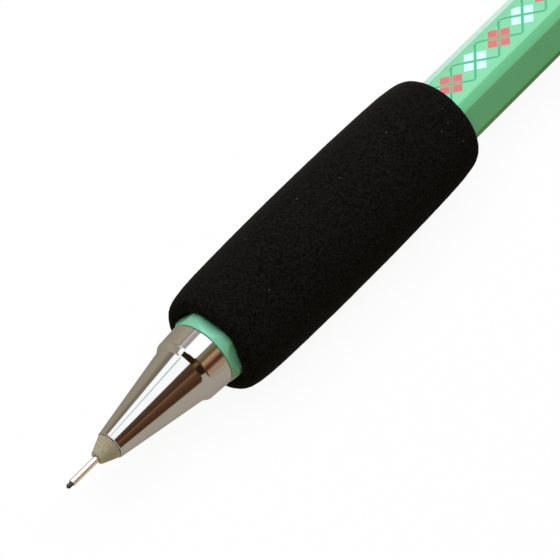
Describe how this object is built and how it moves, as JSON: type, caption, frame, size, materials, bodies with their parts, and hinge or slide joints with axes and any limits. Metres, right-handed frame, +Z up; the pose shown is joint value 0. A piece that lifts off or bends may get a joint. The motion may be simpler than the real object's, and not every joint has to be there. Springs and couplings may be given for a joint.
{
  "type": "mechanical pencil with foam grip",
  "caption": "Push-button mechanical pencil: plated front cone with fine lead sleeve, mint hexagonal barrel with argyle print, and a thick black foam grip pushed over the barrel.",
  "frame": {"origin": "on the pencil's axis at the front end of the lead sleeve", "axes": "+X along the pencil from the tip to the push button, +Z up through a flat of the hexagonal barrel, +Y to the left seen from behind the tip"},
  "size_m": [0.1421, 0.0148, 0.0148],
  "materials": {
    "graphite": "satin",
    "sleeve_steel": "polished",
    "satin_nickel": "satin",
    "seal_rubber": "matte",
    "chrome_plate": "polished",
    "bush_brass": "satin",
    "housing_plastic": "satin",
    "ring_brass": "polished",
    "chuck_brass": "satin",
    "spring_steel": "polished",
    "connector_plastic": "satin",
    "tube_plastic": "satin",
    "ferrule_aluminium": "satin",
    "eraser_rubber": "matte",
    "button_chrome": "polished",
    "tail_chrome": "polished",
    "mint_plastic": "gloss",
    "black_foam": "matte"
  },
  "bodies": {
    "barrel_body": {"barrel": "mint_plastic", "thread_bush": "bush_brass", "ring_housing": "housing_plastic", "tail_bush": "tail_chrome", "return_spring": "spring_steel"},
    "grip_body": {"foam_grip": "black_foam"},
    "tip_body": {"tip_nose": "satin_nickel", "lead_sleeve": "sleeve_steel", "lead_retainer": "seal_rubber"},
    "cone_body": {"nose_cone": "chrome_plate"},
    "clutch_body": {"chuck_ring": "ring_brass"},
    "feed_body": {"chuck": "chuck_brass", "chuck_connector": "connector_plastic", "lead_tube": "tube_plastic", "spare_leads": "graphite", "eraser_ferrule": "ferrule_aluminium", "eraser": "eraser_rubber", "eraser_pin": "spring_steel"},
    "button_body": {"push_button": "button_chrome"},
    "lead_body": {"lead": "graphite"}
  },
  "joints": [
    {"name": "button_push", "type": "slide", "parent": "barrel_body", "child": "feed_body", "axis": [-1, 0, 0], "range_m": [0, 0.0035], "stiffness_N_per_m": 1100, "springref_m": -0.003, "deforming": ["return_spring"]},
    {"name": "ring_travel", "type": "slide", "parent": "barrel_body", "child": "clutch_body", "axis": [-1, 0, 0], "range_m": [0, 0.00116]},
    {"name": "lead_feed", "type": "slide", "parent": "barrel_body", "child": "lead_body", "axis": [-1, 0, 0], "range_m": [-0.0006, 0.008]},
    {"name": "button_pull", "type": "slide", "parent": "feed_body", "child": "button_body", "axis": [1, 0, 0], "range_m": [0, 0.019]},
    {"name": "grip_slide", "type": "slide", "parent": "barrel_body", "child": "grip_body", "axis": [1, 0, 0], "range_m": [0, 0.06]},
    {"name": "cone_unscrew", "type": "hinge", "parent": "tip_body", "child": "cone_body", "pos_m": [0, 0, 0], "axis": [-1, 0, 0], "range_deg": [0, 1441]},
    {"name": "tip_advance", "type": "slide", "parent": "barrel_body", "child": "tip_body", "axis": [-1, 0, 0], "range_m": [0, 0.0032]}
  ],
  "couplings": [
    {"joint": "ring_travel", "follows": "button_push", "ratio": 0.32857},
    {"joint": "cone_unscrew", "follows": "tip_advance", "rad_per_m": 7854}
  ]
}
